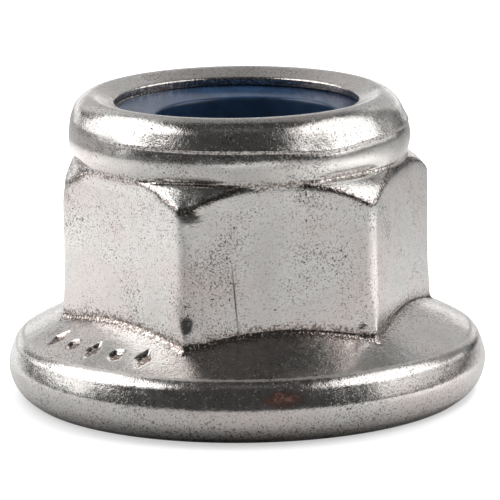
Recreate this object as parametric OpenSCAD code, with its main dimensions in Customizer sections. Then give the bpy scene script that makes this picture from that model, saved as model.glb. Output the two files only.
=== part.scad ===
// Nylon insert flange nut for an M6 bolt, of the prevailing torque type.
// A flange, a hexagon and a crimped collar are forged as one piece of stainless steel,
// and a nylon ring sits in the collar under its rolled-in lip.
// Sizes are in millimetres. The bearing face lies on z = 0 and the thread's axis is Z.

/* [Thread] */
// Nominal diameter of the bolt's thread
thread_d = 6; // [5:0.25:6.5]
// Pitch of the thread
pitch = 1; // [0.75:0.05:1.25]
// How much wider than the thread the countersink in the bearing face is
countersink_extra = 0.6; // [0.2:0.1:1]

/* [Flange] */
// Diameter of the flange
flange_d = 14.2; // [13.6:0.1:17]
// Radius of the rounded rim, seen in section
rim_r = 1.12; // [1.1:0.01:1.4]
// Height at which the flange is widest
rim_z = 0.97; // [0.8:0.01:1.05]
// Height of the edge where the rounded rim meets the conical top
rim_edge_z = 1.82; // [1.6:0.01:1.88]
// Angle of the conical top to the bearing face
cone_angle = 27; // [15:1:32]

/* [Hexagon] */
// Width across flats
across_flats = 9.75; // [9.2:0.05:10.4]
// Radius of the six upright corners
corner_r = 0.5; // [0.2:0.05:0.8]
// Radius of the cove in which each corner's foot flares into the flange
foot_r = 0.6; // [0.3:0.05:0.8]
// Angle of the chamfer on top of the corners, to the bearing face
chamfer_angle = 55; // [20:1:60]
// How far past the flats the chamfer starts
chamfer_out = 0.06; // [0:0.01:0.1]

/* [Collar] */
// Height of the whole nut
height = 9; // [8:0.1:12]
// Height of the collar above the flats
collar_h = 1.9; // [1.7:0.05:2.3]
// How far the collar's bead stands out past the flats
bead_out = 0.105; // [0.05:0.005:0.3]
// Height of the bead's widest point above the flats
bead_z = 0.5; // [0.4:0.02:0.7]
// Radius of the bead's underside, seen in section
bead_r = 1; // [0.8:0.02:1.6]
// Radius of the collar's side above the bead's widest point, seen in section
side_r = 2.4; // [1.4:0.1:4]
// Height above the flats of the fine edge that the crimping leaves round the collar
crimp_edge_z = 1; // [0.85:0.01:1.2]
// Distance from the collar's side to the crest of its crimped top
crest_in = 1.03; // [0.9:0.01:1.3]
// Radius of the lip's rounded nose
lip_r = 0.25; // [0.2:0.01:0.28]
// How much wider than the thread the lip's opening is
lip_gap = 1.2; // [0.6:0.1:1.3]

/* [Insert] */
// Steel wall round the ring
insert_wall = 0.78; // [0.7:0.02:1]
// Depth of the ring's seat below the top of the flats
insert_seat = 0.7; // [0.3:0.05:1.2]
// Height of steel over the ring
insert_cover = 0.55; // [0.5:0.01:0.7]
// Bevel on the ring's upper outer edge, where the crimped wall leans on it
insert_bevel = 0.45; // [0.3:0.05:0.6]
// How far the ring's top sinks towards its hole
insert_dish = 0.17; // [0:0.01:0.4]
// Rounding of the hole's two edges, taken as a small bevel
insert_edge = 0.12; // [0.05:0.01:0.2]
// How much narrower than the thread the ring's hole is
insert_bite = 0.6; // [0.4:0.05:0.8]

/* [Hidden] */
$fn = 96;

// Depth to which one form runs into another, so that they cross and fuse
overlap = 0.03;

// Basic profile of a metric thread: the nut's crests lie this share of the pitch inside
minor_r = (thread_d - 1.0825 * pitch) / 2;
major_r = thread_d / 2;
countersink_r = major_r + countersink_extra / 2;

flange_r = flange_d / 2;
rim_c = flange_r - rim_r;
bearing_r = rim_c + sqrt(pow(rim_r, 2) - pow(rim_z, 2));
rim_edge_r = rim_c + sqrt(pow(rim_r, 2) - pow(rim_edge_z - rim_z, 2));

flat_top = height - collar_h;
flat_r = across_flats / 2;
corner_c = (flat_r - corner_r) / cos(30);
corner_reach = corner_c + corner_r;
foot_z = cone_z(corner_reach + foot_r) + foot_r - overlap;

collar_r = flat_r + bead_out;
belly_z = flat_top + bead_z;
edge_z = flat_top + crimp_edge_z;
edge_r = collar_r - side_r + sqrt(pow(side_r, 2) - pow(edge_z - belly_z, 2));
crest_r = collar_r - crest_in;
dome_rise = height - edge_z;
dome_r = (pow(edge_r - crest_r, 2) + pow(dome_rise, 2)) / (2 * dome_rise);
dome_c = [crest_r, height - dome_r];
lip_hole_r = (thread_d + lip_gap) / 2;
nose_r = lip_hole_r + lip_r;
nose_z = dome_c.y + sqrt(pow(dome_r - lip_r, 2) - pow(nose_r - crest_r, 2)) - overlap;

insert_r = collar_r - insert_wall;
insert_floor = flat_top - insert_seat;
insert_top = height - insert_cover;
insert_hole_r = (thread_d - insert_bite) / 2;

// Height of the flange's conical top at a radius
function cone_z(r) = rim_edge_z + (rim_edge_r - r) * tan(cone_angle);

// Point on the ray from one point through another, at twice the distance
function past(from, to) = 2 * to - from;

// Half section of the flange: a cone on a flat bearing face, with the round rim as a sector
module flange_section() {
    centre = [rim_c, rim_z];
    bearing_edge = [bearing_r, 0];
    rim_edge = [rim_edge_r, rim_edge_z];
    polygon([[0, 0], bearing_edge, centre, rim_edge, [0, cone_z(0)]]);
    intersection() {
        translate(centre)
            circle(r = rim_r);
        polygon([
            centre,
            past(centre, bearing_edge),
            [rim_c + 3 * rim_r, rim_z],
            past(centre, rim_edge)
        ]);
    }
}

// Outline of the hexagon: three bars carry the six flats, and a circle rounds each corner
module hexagon_outline() {
    for (turn = [0 : 60 : 120])
        rotate(turn)
            square([across_flats, corner_c], center = true);
    for (turn = [30 : 60 : 330])
        rotate(turn)
            translate([corner_c, 0])
                circle(r = corner_r);
}

// Half section of one corner's foot, a bell with a coved side
module foot_section() {
    reach = corner_r + foot_r - overlap;
    difference() {
        translate([0, rim_z])
            square([reach, foot_z - rim_z]);
        translate([reach, foot_z])
            circle(r = foot_r);
    }
}

// Hexagon with chamfered corners above and a coved foot below each corner
module hexagon() {
    intersection() {
        translate([0, 0, rim_z])
            linear_extrude(flat_top - rim_z)
                hexagon_outline();
        corner_chamfer();
    }
    for (turn = [30 : 60 : 330])
        rotate(turn)
            translate([corner_c, 0])
                rotate_extrude()
                    foot_section();
}

// Cone that takes the tops off the six corners
module corner_chamfer() {
    start = flat_r + chamfer_out;
    reach = corner_reach + 1;
    rotate_extrude()
        polygon([
            [0, 0],
            [reach, 0],
            [reach, flat_top - (reach - start) * tan(chamfer_angle)],
            [start, flat_top],
            [0, flat_top]
        ]);
}

// Part of a round collar section that lies between two heights, outside the lip's nose
module collar_band(centre, radius, low, high) {
    intersection() {
        translate(centre)
            circle(r = radius);
        translate([nose_r, low])
            square([collar_r, high - low]);
    }
}

// Half section of the collar: the bead's underside, its side, the crimped dome and the lip's nose
module collar_section() {
    collar_band([collar_r - bead_r, belly_z], bead_r, flat_top - overlap, belly_z);
    collar_band([collar_r - side_r, belly_z], side_r, belly_z, edge_z);
    collar_band(dome_c, dome_r, edge_z, height + overlap);
    translate([nose_r, nose_z])
        circle(r = lip_r);
}

// Half section of the ring, dished on top and bevelled where the crimped wall leans on it
module insert_section() {
    rim_top = insert_top - insert_dish;
    polygon([
        [insert_hole_r + insert_edge, insert_floor],
        [insert_r, insert_floor],
        [insert_r, insert_top - insert_bevel],
        [insert_r - insert_bevel, insert_top],
        [insert_hole_r + insert_edge, rim_top],
        [insert_hole_r, rim_top - insert_edge],
        [insert_hole_r, insert_floor + insert_edge]
    ]);
}

// Threaded bore at its crests, with a countersink of a right angle at each end
module bore() {
    rotate_extrude()
        polygon([
            [0, -1],
            [countersink_r + 1, -1],
            [minor_r, countersink_r - minor_r],
            [minor_r, insert_floor - major_r + minor_r],
            [major_r, insert_floor],
            [major_r, insert_floor + overlap],
            [0, insert_floor + overlap]
        ]);
}

// Seat of the ring: the ring's own outline, filled to the axis
module insert_seat_space() {
    rotate_extrude()
        polygon([
            [0, insert_floor],
            [insert_r, insert_floor],
            [insert_r, insert_top - insert_bevel],
            [insert_r - insert_bevel, insert_top],
            [0, insert_top]
        ]);
}

module nut_body() {
    color("Silver")
        difference() {
            union() {
                rotate_extrude()
                    flange_section();
                hexagon();
                rotate_extrude()
                    collar_section();
            }
            bore();
            insert_seat_space();
        }
}

module nylon_insert() {
    color("SlateGray")
        rotate_extrude()
            insert_section();
}

nut_body();
nylon_insert();
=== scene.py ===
"""Nylon insert flange nut, dressed for the eye: forged and tumbled steel, a nylon ring, a cut thread."""

import logging
import math
from dataclasses import dataclass, field
from enum import Enum
from typing import Any

import bpy
import numpy as np
from mathutils import Matrix


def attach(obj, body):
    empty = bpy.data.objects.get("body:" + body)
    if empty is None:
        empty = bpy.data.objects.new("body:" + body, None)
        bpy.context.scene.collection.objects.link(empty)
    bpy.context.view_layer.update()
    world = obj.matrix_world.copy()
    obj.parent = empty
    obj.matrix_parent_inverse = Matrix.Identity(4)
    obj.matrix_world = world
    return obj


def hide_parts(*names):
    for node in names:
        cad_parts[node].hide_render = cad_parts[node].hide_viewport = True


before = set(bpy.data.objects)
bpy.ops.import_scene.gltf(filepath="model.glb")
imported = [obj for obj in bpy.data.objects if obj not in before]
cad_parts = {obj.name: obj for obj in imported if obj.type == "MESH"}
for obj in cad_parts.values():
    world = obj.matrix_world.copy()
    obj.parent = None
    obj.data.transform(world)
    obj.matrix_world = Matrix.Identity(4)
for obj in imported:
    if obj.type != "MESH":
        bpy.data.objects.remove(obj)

LOG = logging.getLogger("flange_nut")
MM = 0.001
# The camera looks at the nut from this turn about the thread's axis, in degrees from -Y.
CAMERA_TURN = 18.6
CAMERA_ANGLE = CAMERA_TURN - 90.0
# The lights face this height of the nut, in millimetres.
AIM_HEIGHT = 4.0


def to_linear(code: str) -> tuple[float, float, float, float]:
    """Turns an sRGB colour code into linear light.

    Args:
        code: six hex digits after a hash sign.

    Returns:
        Red, green, blue and an alpha of one.
    """
    parts = [int(code[i:i + 2], 16) / 255.0 for i in (1, 3, 5)]
    red, green, blue = (p / 12.92 if p <= 0.04045 else ((p + 0.055) / 1.055) ** 2.4 for p in parts)
    return red, green, blue, 1.0


def add_node(tree: bpy.types.NodeTree, kind: str, values: dict[Any, Any] | None = None,
             links: dict[Any, bpy.types.NodeSocket] | None = None, **settings: Any) -> bpy.types.Node:
    """Adds one node to a tree, with its settings, its constant inputs and its links.

    Args:
        tree: the shader or geometry tree.
        kind: Blender's name of the node's type.
        values: constants by the input's name or number.
        links: sockets of earlier nodes by the input's name or number.
        **settings: properties of the node itself.

    Returns:
        The new node.
    """
    node = tree.nodes.new(kind)
    for name, value in settings.items():
        setattr(node, name, value)
    for key, value in (values or {}).items():
        node.inputs[key].default_value = value
    for key, socket in (links or {}).items():
        tree.links.new(socket, node.inputs[key])
    return node


def fresh_tree(owner: bpy.types.Material | bpy.types.World) -> bpy.types.NodeTree:
    """Empties the node tree of a new material or world.

    Args:
        owner: the material or world.

    Returns:
        Its tree, with no nodes.
    """
    owner.use_nodes = True
    owner.node_tree.nodes.clear()
    return owner.node_tree


def add_object(name: str, data: bpy.types.ID) -> bpy.types.Object:
    """Puts a mesh, light or camera into the scene.

    Args:
        name: name of the object.
        data: what it shows.

    Returns:
        The new object, at the origin.
    """
    piece = bpy.data.objects.new(name, data)
    bpy.context.scene.collection.objects.link(piece)
    return piece


def pose(axes: np.ndarray, where: np.ndarray) -> Matrix:
    """Returns the matrix of an object with these axes, as columns, at this place."""
    return Matrix([[*row, w] for row, w in zip(axes, where)] + [[0.0, 0.0, 0.0, 1.0]])


def walk(points: np.ndarray) -> tuple[np.ndarray, np.ndarray]:
    """Measures each row's step to the next along a section that runs round, and the way up to it."""
    step = np.linalg.norm(np.roll(points, -1, axis=0) - points, axis=-1)
    return step, np.cumsum(step, axis=0) - step


def ramp(node: bpy.types.Node, stops: list[tuple[float, tuple[float, float, float, float]]]) -> bpy.types.Node:
    """Gives a colour ramp its stops.

    Args:
        node: a colour ramp node.
        stops: places from 0 to 1 with their colours, in order.

    Returns:
        The same node.
    """
    elements = node.color_ramp.elements
    while len(elements) < len(stops):
        elements.new(0.5)
    for element, (place, colour) in zip(elements, stops):
        element.position = place
        element.color = colour
    return node


def grey(level: float) -> tuple[float, float, float, float]:
    """Returns a neutral colour of one linear level."""
    return level, level, level, 1.0


def smoothstep(low: float, high: float, x: np.ndarray) -> np.ndarray:
    """Rises softly from 0 at low to 1 at high."""
    t = np.clip((x - low) / (high - low), 0.0, 1.0)
    return t * t * (3.0 - 2.0 * t)


def turn_from(angle: np.ndarray, centre: float) -> np.ndarray:
    """Returns angles in degrees measured from a centre, between -180 and 180."""
    return (angle - centre + 180.0) % 360.0 - 180.0


def loft(name: str, points: np.ndarray, attributes: dict[str, np.ndarray] | None = None) -> bpy.types.Object:
    """Makes a closed ring of quads from a grid whose rows and columns both run round.

    Args:
        name: name of the piece.
        points: rows by columns by three, in millimetres.
        attributes: float values of the same rows and columns, by name.

    Returns:
        A smooth shaded mesh object at the origin, with its place in its mesh.
    """
    rows, cols, _ = points.shape
    index = np.arange(rows * cols).reshape(rows, cols)
    up = np.roll(index, -1, axis=0)
    quads = np.stack([index, np.roll(index, -1, axis=1), np.roll(up, -1, axis=1), up], axis=-1)
    mesh = bpy.data.meshes.new(name)
    mesh.from_pydata((points.reshape(-1, 3) * MM).tolist(), [], quads.reshape(-1, 4).tolist())
    for key, values in (attributes or {}).items():
        layer = mesh.attributes.new(key, "FLOAT", "POINT")
        layer.data.foreach_set("value", np.ascontiguousarray(values, dtype=np.float32).ravel())
    mesh.shade_smooth()
    mesh.update()
    return add_object(name, mesh)


def line(start: tuple[Any, Any], end: tuple[Any, Any], steps: np.ndarray) -> np.ndarray:
    """Walks from one section point to another.

    Args:
        start: radius and height, each a number or one value for each column.
        end: the same for the far end.
        steps: places from 0 to 1.

    Returns:
        Steps by columns by two.
    """
    t = steps[:, None]
    return np.stack(np.broadcast_arrays(*[a + (np.asarray(b) - a) * t for a, b in zip(start, end)]), axis=-1)


def arc(centre: tuple[Any, Any], radius: Any, low: Any, high: Any, steps: np.ndarray) -> np.ndarray:
    """Walks along a round of the section.

    Args:
        centre: radius and height of its centre, each a number or one value for each column.
        radius: its radius.
        low: angle at its start, in degrees.
        high: angle at its end.
        steps: places from 0 to 1.

    Returns:
        Steps by columns by two.
    """
    a = np.radians(low + (np.asarray(high) - low) * steps[:, None])
    return np.stack(np.broadcast_arrays(centre[0] + radius * np.cos(a), centre[1] + radius * np.sin(a)), axis=-1)


class Mark(Enum):
    """Plain punch marks on the flange, which spell nothing."""

    DOT = "dot"
    DIAMOND = "diamond"


@dataclass(frozen=True)
class TumbledStainless:
    """Austenitic stainless steel, cold forged and then tumbled.

    Tumbling leaves a soft, slightly rippled gloss with fine dark pits and short scratches, so reflections
    are broad and broken at their edges. Hollows, creases, marks and the flange's underside are painted
    brown-grey: partly deposit from tumbling, partly painted shade.
    """

    light: str = "#dddbd8"
    dark: str = "#c9c6c2"
    blush: str = "#dad3d0"
    # Brown-grey of the tumbling deposit, laid also as painted shade in the hollows, creases, marks and under the
    # flange.
    residue_and_shade: str = "#6f5c52"
    oxide: str = "#8a4a30"
    pit: str = "#4a4641"
    speck: str = "#8a857e"
    roughness: float = 0.2
    # Sizes in millimetres: ripples of the tumbling, fine peel, grain, clouds and blushes of colour, spacing
    # of the pits and the three sizes of a scratch. Grain, pits and scratches are drawn a little coarser than
    # the real ones, so that they show at this scale.
    ripple: float = 0.9
    peel: float = 0.2
    grain: float = 0.05
    cloud: float = 1.6
    blush_patch: float = 2.6
    pit_spacing: float = 0.07
    scratch: tuple[float, float, float] = (0.035, 0.5, 0.7)
    # Their heights in millimetres.
    ripple_height: float = 0.007
    peel_height: float = 0.007
    grain_height: float = 0.009
    pit_depth: float = 0.007
    scratch_depth: float = 0.003
    # One long upright scratch on the flat that faces forward, and one spot of brown oxide on the flange's
    # rim: centres and half sizes in millimetres, turns in degrees.
    gash_at: tuple[float, float, float] = (1.297, -4.88, 3.82)
    gash_size: tuple[float, float, float] = (0.042, 0.08, 1.45)
    gash_turn: tuple[float, float, float] = (0.0, -4.6, 30.0)
    spot_at: tuple[float, float, float] = (3.224, -6.247, 1.353)
    spot_size: tuple[float, float, float] = (0.95, 0.7, 0.38)
    spot_turn: tuple[float, float, float] = (0.0, 0.0, 27.3)

    @staticmethod
    def patch(tree: bpy.types.NodeTree, place: bpy.types.NodeSocket, at: tuple[float, float, float],
              size: tuple[float, float, float], turn: tuple[float, float, float]) -> bpy.types.NodeSocket:
        """Marks one place on the surface.

        Args:
            tree: the material's tree.
            place: the surface's coordinates.
            at: centre in millimetres.
            size: half sizes in millimetres.
            turn: turns about the three axes in degrees.

        Returns:
            A value that falls from one at the centre to zero at the half sizes.
        """
        local = add_node(tree, "ShaderNodeMapping",
                         {"Location": tuple(v * MM for v in at), "Rotation": tuple(math.radians(v) for v in turn),
                          "Scale": tuple(v * MM for v in size)},
                         {"Vector": place}, vector_type="TEXTURE")
        return add_node(tree, "ShaderNodeTexGradient", {}, {"Vector": local.outputs[0]},
                        gradient_type="SPHERICAL").outputs["Fac"]

    def material(self, name: str = "tumbled_stainless_steel") -> bpy.types.Material:
        """Builds the steel's nodes. A Map Range node takes inputs 1 to 2 to its inputs 3 to 4.

        Args:
            name: name of the material.

        Returns:
            The material, which reads the mesh's attribute of deposit and painted shade, and its rubbed attribute.
        """
        material = bpy.data.materials.new(name)
        tree = fresh_tree(material)
        place = add_node(tree, "ShaderNodeTexCoord").outputs["Object"]
        residue_and_shade_amount = add_node(tree, "ShaderNodeAttribute", attribute_name="residue_and_shade_amount").outputs["Fac"]
        rubbed = add_node(tree, "ShaderNodeAttribute", attribute_name="rubbed").outputs["Fac"]

        ripple, peel, grain, cloud, blush = (
            add_node(tree, "ShaderNodeTexNoise", {"Scale": 1 / (size * MM), "Detail": detail},
                     {"Vector": place}).outputs["Fac"]
            for size, detail in ((self.ripple, 2.0), (self.peel, 3.0), (self.grain, 2.0), (self.cloud, 3.0),
                                 (self.blush_patch, 2.0)))

        # Pits lie in clusters: a fine noise is cut to its crests, lower where a cloud is dense.
        specks = add_node(tree, "ShaderNodeTexNoise",
                          {"Scale": 1 / (self.pit_spacing * MM), "Detail": 3.0, "Roughness": 0.6},
                          {"Vector": place})
        level = add_node(tree, "ShaderNodeMapRange", {1: 0.35, 2: 0.72, 3: 0.70, 4: 0.56}, {0: cloud})
        crests = add_node(tree, "ShaderNodeMath", {}, {0: specks.outputs["Fac"], 1: level.outputs[0]},
                          operation="SUBTRACT")
        pits = add_node(tree, "ShaderNodeMapRange", {1: 0.0, 2: 0.08}, {0: crests.outputs[0]})

        # Short scratches of the tumbling: noise drawn out along one direction and cut to its crests.
        drawn = add_node(tree, "ShaderNodeMapping",
                         {"Rotation": (0.4, 0.7, 0.3), "Scale": tuple(1 / (s * MM) for s in self.scratch)},
                         {"Vector": place})
        streaks = add_node(tree, "ShaderNodeTexNoise", {"Scale": 1.0, "Detail": 1.0},
                           {"Vector": drawn.outputs[0]})
        scratches = add_node(tree, "ShaderNodeMapRange", {1: 0.66, 2: 0.78}, {0: streaks.outputs["Fac"]})

        # The brown spot is ragged at its edge, and steel shows through it.
        gash = self.patch(tree, place, self.gash_at, self.gash_size, self.gash_turn)
        core = self.patch(tree, place, self.spot_at, self.spot_size, self.spot_turn)
        ragged = add_node(tree, "ShaderNodeMath", {}, {0: peel, 1: specks.outputs["Fac"]}, operation="MULTIPLY")
        spot_edge = add_node(tree, "ShaderNodeMath", {}, {0: core, 1: ragged.outputs[0]}, operation="MULTIPLY")
        spot = add_node(tree, "ShaderNodeMapRange", {1: 0.1, 2: 0.26, 4: 0.5}, {0: spot_edge.outputs[0]})
        brown = add_node(tree, "ShaderNodeMapRange", {1: 0.08, 2: 0.14, 4: 0.74}, {0: spot_edge.outputs[0]})
        steely = add_node(tree, "ShaderNodeMath", {0: 1.0}, {1: spot.outputs[0]}, operation="SUBTRACT")

        steel = ramp(add_node(tree, "ShaderNodeValToRGB", {}, {"Fac": cloud}),
                     [(0.30, to_linear(self.dark)), (0.52, to_linear(self.light))])
        # Patches of thin oxide give a faint blush here and there.
        patches = add_node(tree, "ShaderNodeMapRange", {1: 0.45, 2: 0.62}, {0: blush})
        marks = add_node(tree, "ShaderNodeMath", {}, {0: pits.outputs[0], 1: gash}, operation="MAXIMUM")
        # Fine dust lies between the pits, thicker where the cloud is dense.
        thin = add_node(tree, "ShaderNodeMapRange", {1: 0.35, 2: 0.68, 3: 0.12, 4: -0.02}, {0: cloud})
        loose = add_node(tree, "ShaderNodeMath", {}, {0: grain, 1: thin.outputs[0]}, operation="SUBTRACT")
        dust = add_node(tree, "ShaderNodeMapRange", {1: 0.50, 2: 0.66}, {0: loose.outputs[0]})
        # Deposit and painted shade darken the hollows, creases, marks and the flange's underside, speckled where
        # they thin out.
        sown = add_node(tree, "ShaderNodeMapRange", {1: 0.36, 2: 0.64}, {0: specks.outputs["Fac"]})
        over = add_node(tree, "ShaderNodeMath", {}, {0: residue_and_shade_amount, 1: sown.outputs[0]}, operation="SUBTRACT")
        residue_and_shade_veil = add_node(tree, "ShaderNodeMapRange", {1: -0.12, 2: 0.2, 4: 0.85}, {0: over.outputs[0]})
        colour = steel.outputs["Color"]
        for share, code in ((patches, self.blush), (dust, self.speck), (marks, self.pit), (residue_and_shade_veil, self.residue_and_shade),
                            (brown, self.oxide)):
            colour = add_node(tree, "ShaderNodeMix", {7: to_linear(code)}, {0: share.outputs[0], 6: colour},
                              data_type="RGBA").outputs[2]

        rough_a = add_node(tree, "ShaderNodeMapRange",
                           {1: 0.3, 2: 0.7, 3: self.roughness - 0.05, 4: self.roughness + 0.06}, {0: peel})
        rough_b = add_node(tree, "ShaderNodeMath", {1: 0.25}, {0: marks.outputs[0], 2: rough_a.outputs[0]},
                           operation="MULTIPLY_ADD")
        # The flange's edge is rubbed dull by handling, so it scatters the light.
        rough = add_node(tree, "ShaderNodeMath", {1: 0.4}, {0: rubbed, 2: rough_b.outputs[0]},
                         operation="MULTIPLY_ADD")

        # Ripple, peel, grain, pits and scratches each bend the normal of the one before. Grain is coarser
        # in the hollows, which tumbling doesn't smooth.
        rippled = add_node(tree, "ShaderNodeBump", {"Strength": 1.0, "Distance": self.ripple_height * MM},
                           {"Height": ripple})
        peeled = add_node(tree, "ShaderNodeBump", {"Strength": 1.0, "Distance": self.peel_height * MM},
                          {"Height": peel, "Normal": rippled.outputs[0]})
        skin = add_node(tree, "ShaderNodeMapRange", {1: 0.0, 2: 0.6, 3: 0.3, 4: 0.65}, {0: residue_and_shade_amount})
        grained = add_node(tree, "ShaderNodeBump", {"Distance": self.grain_height * MM},
                           {"Strength": skin.outputs[0], "Height": grain, "Normal": peeled.outputs[0]})
        pocked = add_node(tree, "ShaderNodeBump", {"Strength": 0.5, "Distance": self.pit_depth * MM},
                          {"Height": marks.outputs[0], "Normal": grained.outputs[0]}, invert=True)
        scored = add_node(tree, "ShaderNodeBump", {"Strength": 0.4, "Distance": self.scratch_depth * MM},
                          {"Height": scratches.outputs[0], "Normal": pocked.outputs[0]}, invert=True)

        shader = add_node(tree, "ShaderNodeBsdfPrincipled", {},
                          {"Base Color": colour, "Metallic": steely.outputs[0],
                           "Roughness": rough.outputs[0], "Normal": scored.outputs[0]})
        add_node(tree, "ShaderNodeOutputMaterial", {}, {"Surface": shader.outputs[0]})
        return material


@dataclass(frozen=True)
class MouldedNylon:
    """Nylon 6.6, injection moulded in dark blue.

    The mould leaves a satin skin with a faint unevenness, which the bright room turns blue-grey.
    """

    light: str = "#2d4462"
    dark: str = "#233750"
    roughness: float = 0.2
    # Sizes in millimetres: mottle of the colour, grain of the mould and its height.
    mottle: float = 0.6
    grain: float = 0.09
    grain_height: float = 0.003

    def material(self, name: str = "moulded_blue_nylon") -> bpy.types.Material:
        """Builds the nylon's nodes.

        Args:
            name: name of the material.

        Returns:
            The material.
        """
        material = bpy.data.materials.new(name)
        tree = fresh_tree(material)
        place = add_node(tree, "ShaderNodeTexCoord").outputs["Object"]
        mottle = add_node(tree, "ShaderNodeTexNoise", {"Scale": 1 / (self.mottle * MM), "Detail": 3.0},
                          {"Vector": place})
        grain = add_node(tree, "ShaderNodeTexNoise", {"Scale": 1 / (self.grain * MM), "Detail": 2.0},
                         {"Vector": place})
        colour = ramp(add_node(tree, "ShaderNodeValToRGB", {}, {"Fac": mottle.outputs["Fac"]}),
                      [(0.35, to_linear(self.dark)), (0.65, to_linear(self.light))])
        rough = add_node(tree, "ShaderNodeMapRange",
                         {1: 0.3, 2: 0.7, 3: self.roughness - 0.06, 4: self.roughness + 0.06},
                         {0: grain.outputs["Fac"]})
        bump = add_node(tree, "ShaderNodeBump", {"Strength": 0.5, "Distance": self.grain_height * MM},
                        {"Height": grain.outputs["Fac"]})
        shader = add_node(tree, "ShaderNodeBsdfPrincipled", {"IOR": 1.53},
                          {"Base Color": colour.outputs["Color"], "Roughness": rough.outputs[0],
                           "Normal": bump.outputs[0]})
        add_node(tree, "ShaderNodeOutputMaterial", {}, {"Surface": shader.outputs[0]})
        return material


@dataclass
class NutBody:
    """Flange, hexagon and crimped collar, one forging, in millimetres."""

    flange_r: float = 7.1
    rim_r: float = 1.12
    rim_z: float = 0.97
    rim_edge_z: float = 1.82
    # The rim's round turns at this angle into a band that leans in, with a tight shoulder above it.
    band_start: float = 7.0
    band_lean: float = 18.5
    band_top: float = 1.5
    cone_angle: float = 27.0
    flat_r: float = 4.875
    corner_r: float = 0.5
    foot_flat: float = 0.2
    foot_corner: float = 0.42
    foot_spread: float = 6.0
    # The corners sharpen towards their feet, over this height.
    foot_corner_r: float = 0.1
    foot_taper: float = 1.25
    flat_top: float = 7.1
    chamfer_angle: float = 48.0
    chamfer_out: float = 0.06
    collar_r: float = 5.05
    bead_z: float = 7.7
    bead_r: float = 1.3
    # Above the corners the bead turns under more tightly, fading between these degrees from a corner.
    bead_corner_r: float = 0.75
    bead_spread: tuple[float, float] = (6.0, 22.0)
    side_r: float = 2.4
    # On this side the collar stands straighter below its ridge, with the step gathered close under it:
    # direction and half width in degrees, radius of the side there, and how much closer the step is.
    side_straight: tuple[float, float] = (-32.0, 30.0)
    side_straight_r: float = 9.6
    step_gather: float = 4.0
    ridge_z: float = 8.1
    height: float = 9.0
    crest_r: float = 4.12
    # The crimped top: the dome's straight foot leans in, its round ends here, then the round of the
    # crest and the land that falls to the lip.
    dome_lean: float = 23.0
    dome_end: float = 68.0
    crest_round: float = 0.35
    land_angle: float = 21.0
    lip_hole_r: float = 3.6
    lip_r: float = 0.07
    lip_under: float = 8.5
    ridge_step: float = 0.04
    # The crimping tool pressed the ridge lower on one side: direction, half width in degrees, drop.
    ridge_dip: tuple[float, float, float] = (-40.0, 15.0, 0.15)
    # It rolled the ridge away altogether over this stretch: direction, half width and fade in degrees,
    # and the length over which it smoothed the section there.
    ridge_gap: tuple[float, float, float, float] = (-162.0, 46.0, 5.0, 0.2)
    # Height over which the ridge is rolled away, and over which it dips.
    gap_tall: float = 0.25
    dip_tall: float = 0.3
    # Points of the collar's outside, and of the hexagon's, lie beyond these radii.
    collar_inside: float = 4.4
    hexagon_inside: float = 4.5
    # The ring's seat: where it opens under the lip, the foot of its bevel, its wall and its floor.
    seat_mouth: tuple[float, float] = (3.78, 8.47)
    seat_bevel: float = 8.03
    seat_r: float = 4.21
    seat_floor: float = 6.39
    bore_r: float = 3.0
    bore_top: float = 6.1
    bore_bottom: float = 0.31
    countersink_r: float = 3.3
    # The crimping left the collar a little out of true, towards the camera's left.
    run_out: float = 0.14
    lip_run_out: float = 0.08
    collar_lean: float = 0.035
    # Heights between which the forging starts to follow the collar, and the lip's own run-out sets in.
    collar_from: tuple[float, float] = (6.7, 7.3)
    lip_from: tuple[float, float] = (7.6, 8.9)
    # One corner is knocked in: direction and spread in degrees, depth.
    worn_corner: float = -150.0
    worn_spread: float = 7.0
    worn_depth: float = 0.1
    # Knocks: direction in degrees, height, half width, half height and depth.
    dents: tuple[tuple[float, float, float, float, float], ...] = (
        (-89.6, 3.4, 0.2, 0.33, 0.14), (-87.8, 6.4, 0.32, 0.22, 0.075), (-33.5, 3.0, 0.14, 0.16, 0.05),
        (-150.5, 6.5, 0.3, 0.35, 0.07), (31.0, 4.6, 0.18, 0.25, 0.06), (88.5, 5.6, 0.2, 0.22, 0.07),
        (148.0, 3.4, 0.22, 0.3, 0.08))
    marks: tuple[Mark, ...] = (Mark.DIAMOND, Mark.DOT, Mark.DIAMOND, Mark.DOT, Mark.DIAMOND)
    mark_first: float = -137.0
    mark_step: float = 9.0
    mark_radius: float = 6.02
    mark_depth: float = 0.085
    dot_r: float = 0.24
    diamond: tuple[float, float] = (0.27, 0.46)
    # Where a mark's side starts and ends, as shares of its size, and how dark its recess is painted: partly deposit,
    # partly painted shade.
    mark_side: tuple[float, float] = (0.62, 1.05)
    mark_residue_and_shade: float = 0.8
    # The marks lie on the cone: above its edge less this, below this height and beyond this radius.
    mark_room: tuple[float, float, float] = (0.05, 3.0, 5.0)
    # Deposit and painted shade at places of the section, its strength and its reach in millimetres: partly deposit
    # and partly painted shade in the hollows, painted shade at the base and the rim's skirt, where the flange meets
    # the table.
    residue_and_shade_places: dict[str, tuple[float, float]] = field(default_factory=lambda: {
        "foot": (0.68, 0.25), "neck": (0.55, 0.13), "brow": (0.62, 0.12), "ridge": (0.62, 0.065),
        "wall_in": (0.7, 0.16), "base": (0.45, 1.5), "skirt": (0.32, 0.6)})
    # How far the dull, rubbed edge of the flange reaches.
    rub_reach: float = 0.04
    # Forging and tumbling round each stretch of the section over this length.
    softening: dict[str, float] = field(default_factory=lambda: {
        "rim": 0.08, "band": 0.1, "shoulder": 0.03, "cone": 0.03, "foot": 0.03, "wall": 0.1, "chamfer": 0.08,
        "neck": 0.11, "bead": 0.06, "side": 0.018, "ridge": 0.01, "slope": 0.018, "dome": 0.018, "crest": 0.03,
        "land": 0.02, "nose": 0.015, "wall_in": 0.01})
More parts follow.
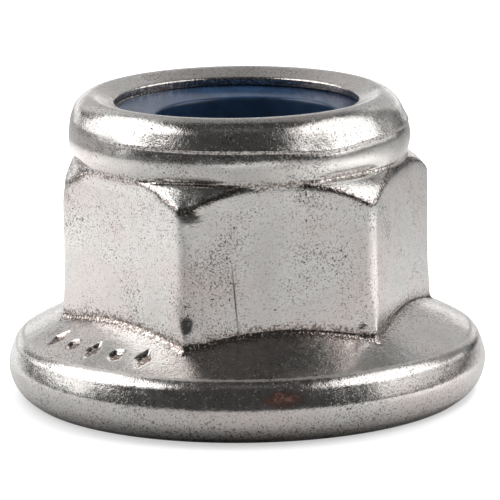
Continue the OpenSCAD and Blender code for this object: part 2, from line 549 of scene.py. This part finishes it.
    # Columns: fine steps to a turn, how many make one column, and how much closer the columns stand within
    # these degrees of a corner and of the marks.
    fine_steps: int = 7200
    column_step: float = 21.0
    corner_columns: tuple[float, float] = (5.0, 2.2)
    mark_columns: tuple[float, float] = (4.5, 2.4)
    finish: TumbledStainless = field(default_factory=TumbledStainless)

    def columns(self) -> np.ndarray:
        """Chooses the angles of the columns: close at the corners and closest at the marks.

        Returns:
            Angles in degrees, rising through one full turn.
        """
        angle = np.linspace(-180.0, 180.0, self.fine_steps + 1)[:-1]
        pace = np.full(angle.shape, 1.0)
        around, closer = self.corner_columns
        pace[np.abs(turn_from(angle, 0.0) % 60.0 - 30.0) < around] = closer
        around, closer = self.mark_columns
        last = self.mark_first + self.mark_step * (len(self.marks) - 1)
        near = (angle > self.mark_first - around) & (angle < last + around)
        pace[near] = np.maximum(pace[near], closer)
        walked = np.concatenate([[0.0], np.cumsum(pace)])
        count = int(walked[-1] / self.column_step)
        wanted = np.linspace(0.0, walked[-1], count + 1)[:-1]
        return np.interp(wanted, walked, np.append(angle, 180.0))

    def reach(self, angle: np.ndarray, corner_r: float) -> np.ndarray:
        """Gives the hexagon's radius in each direction.

        Args:
            angle: directions in degrees.
            corner_r: radius of its corners.

        Returns:
            Distance from the axis to the flat or the rounded corner.
        """
        off_flat = np.radians((angle + 30.0) % 60.0 - 30.0)
        corner_c = (self.flat_r - corner_r) / math.cos(math.radians(30.0))
        off_corner = math.radians(30.0) - np.abs(off_flat)
        inside = np.maximum(corner_r ** 2 - (corner_c * np.sin(off_corner)) ** 2, 0.0)
        rounded = corner_c * np.cos(off_corner) + np.sqrt(inside)
        flat = self.flat_r / np.cos(off_flat)
        radius = np.where(flat * np.sin(np.abs(off_flat)) < corner_c * 0.5, flat, rounded)
        return radius - self.worn_depth * np.exp(-(turn_from(angle, self.worn_corner) / self.worn_spread) ** 2)

    def section(self, angle: np.ndarray) -> tuple[np.ndarray, np.ndarray, dict[str, int], np.ndarray]:
        """Draws the section in every direction, with as many rows in each.

        Args:
            angle: directions of the columns in degrees.

        Returns:
            Points as rows by columns by two, the softening length of each row in millimetres,
            the middle row of each stretch, and how far each point follows the collar's run-out.
        """
        slope = math.radians(self.cone_angle)
        rim_c = self.flange_r - self.rim_r
        low = math.degrees(math.asin(-self.rim_z / self.rim_r))
        high = math.degrees(math.asin((self.rim_edge_z - self.rim_z) / self.rim_r))
        bearing_r = rim_c + self.rim_r * math.cos(math.radians(low))
        edge_r = rim_c + self.rim_r * math.cos(math.radians(high))
        turned = math.radians(self.band_start)
        band_foot = (rim_c + self.rim_r * math.cos(turned), self.rim_z + self.rim_r * math.sin(turned))
        bent = math.radians(self.band_lean)
        band_end = (band_foot[0] - (self.band_top - band_foot[1]) * math.tan(bent), self.band_top)
        shoulder_in = math.cos(bent) - math.sin(slope)
        shoulder_up = math.cos(slope) - math.sin(bent)
        shoulder_r = ((self.rim_edge_z - band_end[1] + (edge_r - band_end[0]) * math.tan(slope))
                      / (shoulder_up - shoulder_in * math.tan(slope)))
        cone_foot = (band_end[0] - shoulder_r * shoulder_in, band_end[1] + shoulder_r * shoulder_up)
        hexagon = self.reach(angle, self.corner_r)
        sharp = self.reach(angle, self.foot_corner_r)

        to_corner = np.abs(turn_from(angle, 0.0) % 60.0 - 30.0)
        at_corner = 1.0 - smoothstep(0.0, self.foot_spread, to_corner)
        foot = self.foot_flat + (self.foot_corner - self.foot_flat) * at_corner
        foot_c = sharp + foot
        foot_z = self.rim_edge_z + (edge_r - foot_c) * math.tan(slope) + foot / math.cos(slope)
        cone_end = (foot_c - foot * math.sin(slope), foot_z - foot * math.cos(slope))

        start = self.flat_r + self.chamfer_out
        pitch = math.tan(math.radians(self.chamfer_angle))
        wall_top = np.minimum(self.flat_top - (hexagon - start) * pitch, self.flat_top)
        ledge = np.minimum(hexagon, start)
        bead = self.bead_r + (self.bead_corner_r - self.bead_r) * (1.0 - smoothstep(*self.bead_spread, to_corner))
        bead_low = np.degrees(np.arcsin((self.flat_top - self.bead_z) / bead))
        neck_r = self.collar_r - bead + bead * np.cos(np.radians(bead_low))
        straight = np.exp(-(turn_from(angle, self.side_straight[0]) / self.side_straight[1]) ** 2)
        side = self.side_r + (self.side_straight_r - self.side_r) * straight
        gather = 1.0 + self.step_gather * straight
        side_high = np.degrees(np.arcsin((self.ridge_z - self.bead_z) / side))
        ridge_r = self.collar_r - side + side * np.cos(np.radians(side_high))
        lean = math.radians(self.dome_lean)
        swell = math.cos(lean) / (1.0 - math.sin(lean))
        rise = self.height - self.ridge_z
        foot_rise = (swell * rise - (ridge_r - self.crest_r)) / (swell - math.tan(lean))
        slope_end = (ridge_r - foot_rise * math.tan(lean), self.ridge_z + foot_rise)
        dome_r = (rise - foot_rise) / (1.0 - math.sin(lean))
        dome_z = self.height - dome_r
        end = math.radians(self.dome_end)
        land = math.radians(self.land_angle)
        crest_c = (self.crest_r + (dome_r - self.crest_round) * math.cos(end),
                   dome_z + (dome_r - self.crest_round) * math.sin(end))
        land_start = (crest_c[0] - self.crest_round * math.sin(land), crest_c[1] + self.crest_round * math.cos(land))
        nose_c = self.lip_hole_r + self.lip_r
        nose_top = land_start[1] - (land_start[0] - nose_c) * math.tan(land)
        nose_z = nose_top - self.lip_r / math.cos(land)

        rising = np.linspace(0, 1, 9)[1:, None]
        wall = line((hexagon, foot_z), (hexagon, wall_top), 0.5 - 0.5 * np.cos(np.linspace(0, np.pi, 24)[1:]))
        wall[..., 0] += (sharp - hexagon) * (1.0 - smoothstep(0.0, self.foot_taper, wall[..., 1] - foot_z))

        ends = [
            ("base", line((self.countersink_r, 0.0), (bearing_r, 0.0), np.linspace(0, 1, 7))),
            ("rim", arc((rim_c, self.rim_z), self.rim_r, low, self.band_start, np.linspace(0, 1, 24))),
            ("band", line(band_foot, band_end, np.linspace(0, 1, 8)[1:])),
            ("shoulder", arc((band_end[0] - shoulder_r * math.cos(bent), band_end[1] - shoulder_r * math.sin(bent)),
                             shoulder_r, self.band_lean, 90.0 - self.cone_angle, np.linspace(0, 1, 10)[1:])),
            ("cone", line(cone_foot, cone_end, np.linspace(0, 1, 36)[1:])),
            ("foot", arc((foot_c, foot_z), foot, 270.0 - self.cone_angle, 180.0, np.linspace(0, 1, 11)[1:])),
            ("wall", wall),
            ("chamfer", line((hexagon, wall_top), (ledge, self.flat_top), np.linspace(0, 1, 11)[1:])),
            ("neck", line((ledge, self.flat_top), (neck_r, self.flat_top), np.linspace(0, 1, 4)[1:])),
            ("bead", arc((self.collar_r - bead, self.bead_z), bead, bead_low, 0.0, np.linspace(0, 1, 9)[1:])),
            ("side", arc((self.collar_r - side - self.ridge_step * rising ** gather, self.bead_z), side, 0.0,
                         side_high, rising[:, 0])),
            ("ridge", line((ridge_r - self.ridge_step, self.ridge_z), (ridge_r, self.ridge_z + 0.01),
                           np.linspace(0, 1, 4)[1:])),
            ("slope", line((ridge_r, self.ridge_z + 0.01), slope_end, np.linspace(0, 1, 8)[1:])),
            ("dome", arc((self.crest_r, dome_z), dome_r, self.dome_lean, self.dome_end,
                         np.linspace(0, 1, 17)[1:])),
            ("crest", arc(crest_c, self.crest_round, self.dome_end, 90.0 + self.land_angle,
                          np.linspace(0, 1, 8)[1:])),
            ("land", line(land_start, (nose_c, nose_top), np.linspace(0, 1, 8)[1:])),
            ("nose", arc((nose_c, nose_z), self.lip_r, 90.0 + self.land_angle, 180.0, np.linspace(0, 1, 5)[1:])),
            ("wall_in", line((self.lip_hole_r, nose_z), (self.lip_hole_r + 0.04, self.lip_under),
                             np.linspace(0, 1, 6)[1:])),
            ("seat", line(self.seat_mouth, (self.seat_r, self.seat_bevel), np.linspace(0, 1, 4))),
            ("floor", line((self.seat_r, self.seat_floor), (self.bore_r, self.seat_floor + 0.01),
                           np.linspace(0, 1, 4))),
            ("bore", line((self.bore_r, self.bore_top), (self.bore_r, self.bore_bottom), np.linspace(0, 1, 6))),
        ]
        parts, lengths, middles, follow = [], [], {}, []
        fixed = ("seat", "floor", "bore", "base", "rim", "band", "shoulder", "cone", "foot")
        first = 0
        for name, part in ends:
            full = np.broadcast_to(part, (part.shape[0], angle.size, 2))
            height = full[..., 1]
            middles[name] = first + len(full) // 2
            if name == "wall":
                middles["brow"] = first + len(full) - 1
            if name == "rim":
                middles["skirt"] = first + len(full) // 4
            if name == "shoulder":
                middles["edge"] = first + len(full) - 1
            parts.append(full)
            lengths.append(np.full(len(full), self.softening.get(name, 0.0)))
            follow.append(np.zeros(height.shape) if name in fixed else smoothstep(*self.collar_from, height))
            first += len(full)
        return np.concatenate(parts), np.concatenate(lengths), middles, np.concatenate(follow)

    def softened(self, points: np.ndarray, length: np.ndarray) -> np.ndarray:
        """Rounds the section's edges as forging and tumbling do.

        Args:
            points: rows by columns by two.
            length: softening length at each point; where it is none, the point stays.

        Returns:
            The same rows, each moved to the mean of its neighbours along the section.
        """
        step, walked = walk(points)
        weight_of = 0.5 * (step + np.roll(step, 1, axis=0)) + 1e-6
        total = walked[-1] + step[-1]
        sigma = np.maximum(length, 1e-5)
        mean = np.zeros_like(points)
        weights = np.zeros(step.shape)
        for shift in range(-14, 15):
            gap = np.abs(np.roll(walked, -shift, axis=0) - walked)
            gap = np.minimum(gap, total - gap)
            weight = np.exp(-0.5 * (gap / sigma) ** 2) * np.roll(weight_of, -shift, axis=0)
            mean += weight[..., None] * np.roll(points, -shift, axis=0)
            weights += weight
        return mean / weights[..., None]

    def residue_and_shade(self, points: np.ndarray, middles: dict[str, int]) -> np.ndarray:
        """Lays brown-grey deposit where tumbling doesn't reach, with painted shade, in the hollows and under the
        flange.

        Args:
            points: rows by columns by two.
            middles: the middle row of each stretch of the section.

        Returns:
            How thick the deposit and painted shade are at each point, from 0 to 1.
        """
        thick = np.zeros(points.shape[:2])
        for name, (amount, reach) in self.residue_and_shade_places.items():
            thick = np.maximum(thick, amount * self.nearness(points, middles[name], reach))
        return thick

    def nearness(self, points: np.ndarray, row: int, reach: float) -> np.ndarray:
        """Measures how near each point lies to one row, along the section.

        Args:
            points: rows by columns by two.
            row: number of the row.
            reach: distance in millimetres over which nearness falls off.

        Returns:
            One on the row, falling softly to zero.
        """
        _, walked = walk(points)
        return np.exp(-((walked - walked[row]) / reach) ** 2)

    def mark_recess(self, angle: np.ndarray, radius: np.ndarray, height: np.ndarray) -> np.ndarray:
        """Presses the punch marks into the flange's top.

        Args:
            angle: direction of each column.
            radius: radius of each point.
            height: height of each point.

        Returns:
            How deep each point lies in a mark, from 0 to 1.
        """
        along = (self.mark_radius - radius) / math.cos(math.radians(self.cone_angle))
        depth = np.zeros(radius.shape)
        for i, mark in enumerate(self.marks):
            across = np.radians(turn_from(angle, self.mark_first + i * self.mark_step)) * radius
            if mark is Mark.DOT:
                size = np.hypot(across, along) / self.dot_r
            else:
                size = np.abs(across) / self.diamond[0] + np.abs(along) / self.diamond[1]
            depth = np.maximum(depth, 1.0 - smoothstep(*self.mark_side, size))
        below, high, inside = self.mark_room
        on_cone = (height > self.rim_edge_z - below) & (height < high) & (radius > inside)
        return depth * on_cone

    def build(self) -> bpy.types.Object:
        """Lofts the forging.

        Returns:
            The nut's body as one closed mesh.
        """
        angle = self.columns()
        points, length, middles, follow = self.section(angle)
        middle, half, fade, smoothed = self.ridge_gap
        rolled = 1.0 - smoothstep(half - fade, half + fade, np.abs(turn_from(angle, middle)))
        at_ridge = np.exp(-((points[..., 1] - self.ridge_z) / self.gap_tall) ** 2)
        at_ridge = at_ridge * (points[..., 0] > self.collar_inside)
        points = self.softened(points, length[:, None] + smoothed * rolled[None, :] * at_ridge)
        # Deposit and painted shade, left out where the ridge is rolled away.
        dark = self.residue_and_shade(points, middles) * (1.0 - rolled[None, :] * at_ridge)
        edge = self.nearness(points, middles["edge"], self.rub_reach)
        radius, height = points[..., 0], points[..., 1]
        for at, level, wide, tall, deep in self.dents:
            across = np.radians(turn_from(angle, at))[None, :] * radius / wide
            pressed = deep * np.exp(-across ** 2 - ((height - level) / tall) ** 2)
            radius = radius - pressed * (radius > self.hexagon_inside)
        at, half, drop = self.ridge_dip
        dip = drop * np.exp(-(turn_from(angle, at) / half) ** 2)[None, :]
        dip = dip * np.exp(-((height - self.ridge_z) / self.dip_tall) ** 2)
        height = height - dip * (radius > self.collar_inside)
        recess = self.mark_recess(angle[None, :], radius, height)
        slope = math.radians(self.cone_angle)
        radius = radius - self.mark_depth * recess * math.sin(slope)
        height = height - self.mark_depth * recess * math.cos(slope)
        # The marks' recesses are painted darker: partly deposit, partly painted shade.
        dark = np.maximum(dark, self.mark_residue_and_shade * recess)
        left = math.radians(CAMERA_TURN + 180.0)
        turn = np.radians(angle)[None, :]
        away = radius * np.cos(turn - math.radians(CAMERA_ANGLE + 180.0)) / self.crest_r
        height = height + self.collar_lean * away * follow
        aside = (self.run_out + self.lip_run_out * smoothstep(*self.lip_from, height)) * follow
        x = radius * np.cos(turn) + aside * math.cos(left)
        y = radius * np.sin(turn) + aside * math.sin(left)
        return loft("forged_body", np.stack([x, y, height], axis=-1), {"residue_and_shade_amount": dark, "rubbed": edge})

    def dress(self, piece: bpy.types.Object, steel: bpy.types.Material) -> None:
        """Gives the body its steel and its place in the frame.

        Args:
            piece: the lofted body.
            steel: its material.
        """
        piece.data.materials.append(steel)
        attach(piece, "root")
        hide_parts("nut_body")


@dataclass
class CutThread:
    """The tapped thread as one ridge on a helix, in millimetres, made by Geometry Nodes."""

    pitch: float = 1.0
    major_r: float = 3.02
    minor_r: float = 2.459
    bottom: float = -0.3
    turns: float = 7.2
    floor: float = 6.385
    countersink_r: float = 3.3
    # Half widths of the ridge at its crest and root, as shares of the pitch.
    crest_share: float = 0.125
    root_share: float = 0.45
    # Steps to a turn, and the height below which nothing of it reaches.
    segments: int = 96
    lowest: float = 0.02

    def tree(self, steel: bpy.types.Material) -> bpy.types.NodeTree:
        """Builds the node tree: a spiral, the ridge's section along it, and the two countersinks.

        Args:
            steel: material of the ridge.

        Returns:
            The tree, whose inputs are the thread's sizes in metres.
        """
        tree = bpy.data.node_groups.new("cut_thread", "GeometryNodeTree")
        face = tree.interface
        face.new_socket("Geometry", in_out="INPUT", socket_type="NodeSocketGeometry")
        for name in ("Pitch", "Turns", "Major Radius", "Minor Radius", "Bottom", "Floor", "Countersink"):
            face.new_socket(name, in_out="INPUT", socket_type="NodeSocketFloat")
        face.new_socket("Geometry", in_out="OUTPUT", socket_type="NodeSocketGeometry")
        given = add_node(tree, "NodeGroupInput").outputs

        rise = add_node(tree, "ShaderNodeMath", {}, {0: given["Pitch"], 1: given["Turns"]}, operation="MULTIPLY")
        spiral = add_node(tree, "GeometryNodeCurveSpiral", {"Resolution": self.segments},
                          {"Rotations": given["Turns"], "Start Radius": given["Major Radius"],
                           "End Radius": given["Major Radius"], "Height": rise.outputs[0]})
        upright = add_node(tree, "GeometryNodeSetCurveNormal", {}, {"Curve": spiral.outputs[0]}, mode="Z_UP")

        depth = add_node(tree, "ShaderNodeMath", {}, {0: given["Major Radius"], 1: given["Minor Radius"]},
                         operation="SUBTRACT")
        crest, root = (add_node(tree, "ShaderNodeMath", {1: share}, {0: given["Pitch"]}, operation="MULTIPLY")
                       for share in (self.crest_share, self.root_share))
        corners = []
        for half, inward, sign in ((root, False, -1.0), (root, False, 1.0), (crest, True, 1.0), (crest, True, -1.0)):
            width = add_node(tree, "ShaderNodeMath", {1: sign}, {0: half.outputs[0]}, operation="MULTIPLY")
            links = {"Y": width.outputs[0]}
            if inward:
                links["X"] = depth.outputs[0]
            corners.append(add_node(tree, "ShaderNodeCombineXYZ", {}, links))
        profile = add_node(tree, "GeometryNodeCurvePrimitiveQuadrilateral", {},
                           {f"Point {i + 1}": c.outputs[0] for i, c in enumerate(corners)}, mode="POINTS")
        ridge = add_node(tree, "GeometryNodeCurveToMesh", {"Fill Caps": True},
                         {"Curve": upright.outputs[0], "Profile Curve": profile.outputs[0]})

        lifted = add_node(tree, "ShaderNodeCombineXYZ", {}, {"Z": given["Bottom"]})
        raised = add_node(tree, "GeometryNodeSetPosition", {},
                          {"Geometry": ridge.outputs[0], "Offset": lifted.outputs[0]})
        place = add_node(tree, "GeometryNodeInputPosition")
        axes = add_node(tree, "ShaderNodeSeparateXYZ", {}, {0: place.outputs[0]})
        flat = add_node(tree, "ShaderNodeCombineXYZ", {}, {"X": axes.outputs["X"], "Y": axes.outputs["Y"]})
        radius = add_node(tree, "ShaderNodeVectorMath", {}, {0: flat.outputs[0]}, operation="LENGTH")
        low = add_node(tree, "ShaderNodeMath", {}, {0: given["Countersink"], 1: axes.outputs["Z"]},
                       operation="SUBTRACT")
        under = add_node(tree, "ShaderNodeMath", {}, {0: given["Floor"], 1: axes.outputs["Z"]},
                         operation="SUBTRACT")
        high = add_node(tree, "ShaderNodeMath", {}, {0: given["Major Radius"], 1: under.outputs[0]},
                        operation="SUBTRACT")
        bevel = add_node(tree, "ShaderNodeMath", {}, {0: low.outputs[0], 1: high.outputs[0]}, operation="MAXIMUM")
        bevel_in = add_node(tree, "ShaderNodeMath", {}, {0: bevel.outputs[0], 1: given["Major Radius"]},
                            operation="MINIMUM")
        wide = add_node(tree, "ShaderNodeMath", {}, {0: bevel_in.outputs[0], 1: radius.outputs["Value"]},
                        operation="MAXIMUM")
        scale = add_node(tree, "ShaderNodeMath", {}, {0: wide.outputs[0], 1: radius.outputs["Value"]},
                         operation="DIVIDE")
        spread = add_node(tree, "ShaderNodeVectorMath", {}, {0: flat.outputs[0], "Scale": scale.outputs[0]},
                          operation="SCALE")
        out = add_node(tree, "ShaderNodeSeparateXYZ", {}, {0: spread.outputs[0]})
        level = add_node(tree, "ShaderNodeClamp", {"Min": self.lowest * MM},
                         {"Value": axes.outputs["Z"], "Max": given["Floor"]})
        joined = add_node(tree, "ShaderNodeCombineXYZ", {},
                          {"X": out.outputs["X"], "Y": out.outputs["Y"], "Z": level.outputs[0]})
        trimmed = add_node(tree, "GeometryNodeSetPosition", {},
                           {"Geometry": raised.outputs[0], "Position": joined.outputs[0]})
        real = add_node(tree, "GeometryNodeRealizeInstances", {}, {0: trimmed.outputs[0]})
        dressed = add_node(tree, "GeometryNodeSetMaterial", {"Material": steel}, {"Geometry": real.outputs[0]})
        add_node(tree, "NodeGroupOutput", {}, {0: dressed.outputs[0]})
        return tree

    def build(self, steel: bpy.types.Material) -> bpy.types.Object:
        """Runs the tree and keeps its result as a plain mesh.

        Args:
            steel: material of the ridge.

        Returns:
            The thread's ridge.
        """
        piece = add_object("cut_thread", bpy.data.meshes.new("cut_thread_start"))
        tree = self.tree(steel)
        modifier = piece.modifiers.new("cut_thread", "NODES")
        modifier.node_group = tree
        sizes = {"Pitch": self.pitch * MM, "Turns": self.turns, "Major Radius": self.major_r * MM,
                 "Minor Radius": self.minor_r * MM, "Bottom": self.bottom * MM, "Floor": self.floor * MM,
                 "Countersink": self.countersink_r * MM}
        for item in tree.interface.items_tree:
            if item.in_out == "INPUT" and item.name in sizes:
                modifier[item.identifier] = sizes[item.name]
        view = bpy.context.evaluated_depsgraph_get()
        mesh = bpy.data.meshes.new_from_object(piece.evaluated_get(view), depsgraph=view)
        piece.modifiers.remove(modifier)
        piece.data = mesh
        mesh.name = "cut_thread"
        return piece

    def dress(self, piece: bpy.types.Object) -> None:
        """Gives the thread its place in the frame."""
        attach(piece, "root")


@dataclass
class NylonRing:
    """The locking ring under the lip, in millimetres."""

    outer_r: float = 4.195
    hole_r: float = 2.7
    floor: float = 6.405
    top: float = 8.52
    bevel: float = 0.45
    dish: float = 0.2
    edge: float = 0.06
    # The hole sits a little to the camera's right, and the ring's top follows it out to this radius.
    hole_aside: float = 0.1
    aside_reach: float = 3.7
    columns: int = 192
    finish: MouldedNylon = field(default_factory=MouldedNylon)

    def build(self) -> bpy.types.Object:
        """Lofts the ring with softened edges.

        Returns:
            The ring as one closed mesh.
        """
        rim = self.top - self.dish
        inner = self.hole_r + self.edge
        corners = [(inner, self.floor), (self.outer_r, self.floor), (self.outer_r, self.top - self.bevel),
                   (self.outer_r - self.bevel, self.top), (inner, rim), (self.hole_r, rim - self.edge),
                   (self.hole_r, self.floor + self.edge)]
        counts = (4, 4, 8, 26, 6, 8, 4)
        rows = [line(a, b, np.linspace(0, 1, n + 1)[:-1])[:, 0]
                for a, b, n in zip(corners, corners[1:] + corners[:1], counts)]
        section = np.concatenate(rows)
        for _ in range(2):
            section = 0.25 * np.roll(section, 1, axis=0) + 0.5 * section + 0.25 * np.roll(section, -1, axis=0)
        turn = np.radians(np.linspace(-180.0, 180.0, self.columns + 1)[:-1])[None, :]
        radius, height = section[:, :1], section[:, 1:]
        right = math.radians(CAMERA_TURN)
        aside = self.hole_aside * (1.0 - smoothstep(self.hole_r + 0.1, self.aside_reach, radius))
        points = np.stack([radius * np.cos(turn) + aside * math.cos(right),
                           radius * np.sin(turn) + aside * math.sin(right), height + 0.0 * turn], axis=-1)
        return loft("nylon_ring", points)

    def dress(self, piece: bpy.types.Object) -> None:
        """Gives the ring its nylon and its place in the frame.

        Args:
            piece: the lofted ring.
        """
        piece.data.materials.append(self.finish.material())
        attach(piece, "root")
        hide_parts("nylon_insert")


@dataclass(frozen=True)
class SoftBox:
    """One soft light, set by where it stands round the nut as the camera sees it.

    Side, height and spread are degrees, to the camera's right and up; distance, width and tall are
    millimetres. A light that isn't mirrored shows in the steel only through the table that it lights, and
    a downward one faces the table.
    """

    name: str
    side: float
    height: float
    distance: float
    width: float
    tall: float
    radiance: float
    mirrored: bool = True
    spread: float = 180.0
    downward: bool = False

    def place(self) -> bpy.types.Object:
        """Hangs the light so that it faces the nut.

        Returns:
            The light, which the camera doesn't see.
        """
        lamp = bpy.data.lights.new(self.name, "AREA")
        lamp.shape = "RECTANGLE"
        lamp.size = self.width * MM
        lamp.size_y = self.tall * MM
        lamp.energy = self.radiance * math.pi * self.width * self.tall * MM * MM
        lamp.spread = math.radians(self.spread)
        light = add_object(self.name, lamp)
        turn = math.radians(CAMERA_ANGLE + self.side)
        rise = math.radians(self.height)
        out = np.array([math.cos(turn) * math.cos(rise), math.sin(turn) * math.cos(rise), math.sin(rise)])
        right = np.array([-math.sin(turn), math.cos(turn), 0.0])
        where = out * self.distance * MM + np.array([0.0, 0.0, AIM_HEIGHT * MM])
        if self.downward:
            out = np.array([0.0, 0.0, 1.0])
        up = np.cross(out, right)
        light.matrix_world = pose(np.stack([right, up, out], axis=1), where)
        light.visible_camera = False
        light.visible_glossy = self.mirrored
        return light


@dataclass
class Studio:
    """White table, soft boxes and camera."""

    # The camera: sensor, lens, distance and height in millimetres, tilt, pan and roll in radians.
    sensor: float = 36.0
    lens: float = 282.78
    distance: float = 114.05
    rise: float = 28.77
    tilt: float = 0.2124
    pan: float = 0.0011
    roll: float = 0.0139
    # Half the table's width and how far it lies under the nut, in millimetres.
    table_half: float = 1500.0
    table_drop: float = 0.004
    # How brightly the table glows for the camera at the inner and the outer one of two radii round the nut, in
    # millimetres; dimmer near the nut, as a painted shadow.
    painted_shadow_radii: tuple[float, float] = (7.0, 14.0)
    glow_and_painted_shadow: tuple[float, float] = (0.5, 0.95)
    # Linear levels of the table's paper and of the dim room.
    paper: float = 0.5
    room: float = 0.05
    boxes: tuple[SoftBox, ...] = (
        SoftBox("left_low", -104.0, 11.0, 80.0, 77.0, 18.0, 1.4),
        SoftBox("left_box", -95.0, 38.5, 80.0, 72.0, 63.0, 2.3),
        SoftBox("left_front", -58.0, 39.5, 80.0, 20.0, 29.0, 2.0),
        SoftBox("right_low", 95.0, 11.0, 80.0, 104.0, 18.0, 0.85),
        SoftBox("right_box", 87.0, 38.5, 80.0, 66.0, 63.0, 1.8),
        SoftBox("right_front", 51.0, 36.0, 80.0, 21.0, 32.0, 1.3),
        SoftBox("horizon", -173.0, 5.0, 140.0, 190.0, 25.0, 1.15),
        SoftBox("backdrop", 180.0, 26.0, 140.0, 190.0, 91.0, 0.52),
        SoftBox("back_high", 180.0, 60.0, 140.0, 124.0, 85.0, 0.25),
        SoftBox("top_front", 0.0, 66.0, 100.0, 40.0, 24.0, 0.1),
        SoftBox("back_left", -138.0, 40.0, 110.0, 60.0, 85.0, 0.25),
        SoftBox("back_right", 131.0, 27.0, 110.0, 60.0, 70.0, 0.22),
        SoftBox("table_fill", 180.0, 72.0, 600.0, 400.0, 400.0, 3.0, mirrored=False),
        SoftBox("front_wash", 5.0, 41.0, 130.0, 80.0, 50.0, 5.5, mirrored=False, spread=68.0, downward=True),
        SoftBox("corner_wash", 83.0, 45.0, 25.5, 8.0, 8.0, 4.5, mirrored=False, spread=60.0, downward=True),
        SoftBox("back_wash", -174.0, 50.0, 42.0, 24.0, 24.0, 2.2, mirrored=False, spread=75.0, downward=True),
        SoftBox("left_wash", -112.0, 50.0, 42.0, 44.0, 24.0, 1.9, mirrored=False, spread=75.0, downward=True),
        SoftBox("right_wash", 73.0, 50.0, 42.0, 26.0, 24.0, 2.4, mirrored=False, spread=75.0, downward=True),
    )

    def light(self) -> None:
        """Hangs the soft boxes and makes the room round them."""
        for box in self.boxes:
            box.place()
        world = bpy.data.worlds.new("studio_room")
        tree = fresh_tree(world)
        seen = add_node(tree, "ShaderNodeLightPath").outputs["Is Camera Ray"]
        shade = add_node(tree, "ShaderNodeMix", {6: grey(self.room), 7: grey(1.0)}, {0: seen}, data_type="RGBA")
        room = add_node(tree, "ShaderNodeBackground", {}, {"Color": shade.outputs[2]})
        add_node(tree, "ShaderNodeOutputWorld", {}, {"Surface": room.outputs[0]})
        bpy.context.scene.world = world
        bpy.context.scene.view_settings.view_transform = "Standard"

    def floor(self) -> bpy.types.Object:
        """Lays the white table.

        Returns:
            The floor.
        """
        half = self.table_half * MM
        mesh = bpy.data.meshes.new("white_table")
        corners = [(x * half, y * half, -self.table_drop * MM) for x, y in ((-1, -1), (1, -1), (1, 1), (-1, 1))]
        mesh.from_pydata(corners, [], [(0, 1, 2, 3)])
        table = add_object("white_table", mesh)
        material = bpy.data.materials.new("white_paper")
        tree = fresh_tree(material)
        seen = add_node(tree, "ShaderNodeLightPath").outputs["Is Camera Ray"]
        plain = add_node(tree, "ShaderNodeBsdfDiffuse", {"Color": grey(self.paper)})
        # The paper glows for the camera, less near the nut: a painted shadow round the nut, which also lets the
        # lamps' shadow show.
        place = add_node(tree, "ShaderNodeTexCoord").outputs["Object"]
        away = add_node(tree, "ShaderNodeVectorMath", {}, {0: place}, operation="LENGTH")
        near, far = self.painted_shadow_radii
        level = add_node(tree, "ShaderNodeMapRange", {1: near * MM, 2: far * MM, 3: self.glow_and_painted_shadow[0], 4: self.glow_and_painted_shadow[1]},
                         {0: away.outputs["Value"]})
        glow_and_painted_shadow = add_node(tree, "ShaderNodeEmission", {"Color": grey(1.0)}, {"Strength": level.outputs[0]})
        lit = add_node(tree, "ShaderNodeAddShader", {}, {0: plain.outputs[0], 1: glow_and_painted_shadow.outputs[0]})
        both = add_node(tree, "ShaderNodeMixShader", {},
                        {"Fac": seen, 1: plain.outputs[0], 2: lit.outputs[0]})
        add_node(tree, "ShaderNodeOutputMaterial", {}, {"Surface": both.outputs[0]})
        mesh.materials.append(material)
        return table

    def camera(self) -> bpy.types.Object:
        """Sets the camera at the photograph's angle.

        Returns:
            The scene's camera.
        """
        ct, st, cp, sp = math.cos(self.tilt), math.sin(self.tilt), math.cos(self.pan), math.sin(self.pan)
        right = np.array([cp, -sp, 0.0])
        ahead = np.array([ct * sp, ct * cp, -st])
        up = np.array([st * sp, st * cp, ct])
        cr, sr = math.cos(self.roll), math.sin(self.roll)
        axes = np.stack([cr * right - sr * up, sr * right + cr * up, -ahead], axis=1)
        turn = np.array(Matrix.Rotation(math.radians(CAMERA_TURN), 3, "Z"))
        axes = turn @ axes
        where = turn @ np.array([0.0, -self.distance, self.rise]) * MM
        lens = bpy.data.cameras.new("photo_camera")
        lens.sensor_width = self.sensor
        lens.lens = self.lens
        lens.clip_start = 0.005
        camera = add_object("photo_camera", lens)
        camera.matrix_world = pose(axes, where)
        bpy.context.scene.camera = camera
        return camera


def main() -> None:
    """Builds the nut and its studio in order."""
    logging.basicConfig(level=logging.INFO, format="%(name)s: %(message)s")
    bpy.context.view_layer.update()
    studio = Studio()
    studio.camera()
    studio.floor()
    studio.light()

    body = NutBody()
    steel = body.finish.material()
    forging = body.build()
    body.dress(forging, steel)
    LOG.info("%s: %d faces", forging.name, len(forging.data.polygons))

    thread = CutThread()
    ridge = thread.build(steel)
    thread.dress(ridge)
    LOG.info("%s: %d faces", ridge.name, len(ridge.data.polygons))

    ring = NylonRing()
    insert = ring.build()
    ring.dress(insert)
    LOG.info("%s: %d faces", insert.name, len(insert.data.polygons))


if __name__ == "__main__":
    main()
